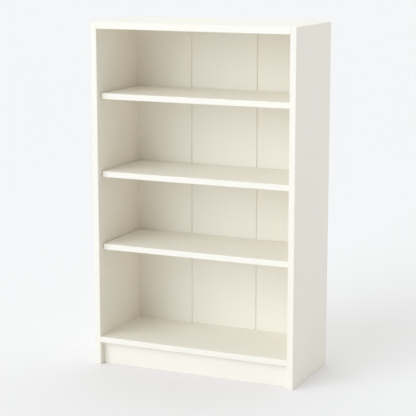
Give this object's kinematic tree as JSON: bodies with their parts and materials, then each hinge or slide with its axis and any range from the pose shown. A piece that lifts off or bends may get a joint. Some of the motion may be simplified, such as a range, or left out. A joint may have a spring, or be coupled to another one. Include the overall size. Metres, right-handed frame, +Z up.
{
  "type": "miniature bookcase",
  "caption": "Open miniature bookcase: side panels, top, plinth and grooved board back, with loose shelves that rest on studs and slide out to the front.",
  "frame": {"origin": "on the floor, at the centre of the footprint", "axes": "+Z up; the open front faces -Y; +X to the right of a person who faces the front"},
  "size_m": [0.062, 0.0274, 0.1],
  "materials": {
    "ivory_paint": "fine-grained wood under satin warm-ivory paint",
    "dowel_beech": "bare turned beech",
    "stud_brass": "turned brass",
    "brad_steel": "bright drawn steel"
  },
  "bodies": {
    "case": {"back_board_centre": "ivory_paint", "back_board_left": "ivory_paint", "back_board_right": "ivory_paint", "bottom_panel": "ivory_paint", "brad_centre_bottom_left": "brad_steel", "brad_centre_bottom_right": "brad_steel", "brad_centre_top_left": "brad_steel", "brad_centre_top_right": "brad_steel", "brad_left_bottom_left": "brad_steel", "brad_left_bottom_right": "brad_steel", "brad_left_top_left": "brad_steel", "brad_left_top_right": "brad_steel", "brad_right_bottom_left": "brad_steel", "brad_right_bottom_right": "brad_steel", "brad_right_top_left": "brad_steel", "brad_right_top_right": "brad_steel", "dowel_bottom_left_front": "dowel_beech", "dowel_bottom_left_rear": "dowel_beech", "dowel_bottom_right_front": "dowel_beech", "dowel_bottom_right_rear": "dowel_beech", "dowel_plinth_left_lower": "dowel_beech", "dowel_plinth_left_upper": "dowel_beech", "dowel_plinth_right_lower": "dowel_beech", "dowel_plinth_right_upper": "dowel_beech", "dowel_top_left_front": "dowel_beech", "dowel_top_left_rear": "dowel_beech", "dowel_top_right_front": "dowel_beech", "dowel_top_right_rear": "dowel_beech", "left_side": "ivory_paint", "plinth": "ivory_paint", "right_side": "ivory_paint", "stud_lower_left_front": "stud_brass", "stud_lower_left_rear": "stud_brass", "stud_lower_right_front": "stud_brass", "stud_lower_right_rear": "stud_brass", "stud_middle_left_front": "stud_brass", "stud_middle_left_rear": "stud_brass", "stud_middle_right_front": "stud_brass", "stud_middle_right_rear": "stud_brass", "stud_upper_left_front": "stud_brass", "stud_upper_left_rear": "stud_brass", "stud_upper_right_front": "stud_brass", "stud_upper_right_rear": "stud_brass", "top_panel": "ivory_paint"},
    "upper_shelf": {"upper_shelf": "ivory_paint"},
    "middle_shelf": {"middle_shelf": "ivory_paint"},
    "lower_shelf": {"lower_shelf": "ivory_paint"}
  },
  "joints": [
    {"name": "upper_shelf_slide", "type": "slide", "parent": "case", "child": "upper_shelf", "axis": [0, -1, 0], "range_m": [0, 0.028]},
    {"name": "middle_shelf_slide", "type": "slide", "parent": "case", "child": "middle_shelf", "axis": [0, -1, 0], "range_m": [0, 0.028]},
    {"name": "lower_shelf_slide", "type": "slide", "parent": "case", "child": "lower_shelf", "axis": [0, -1, 0], "range_m": [0, 0.028]}
  ]
}
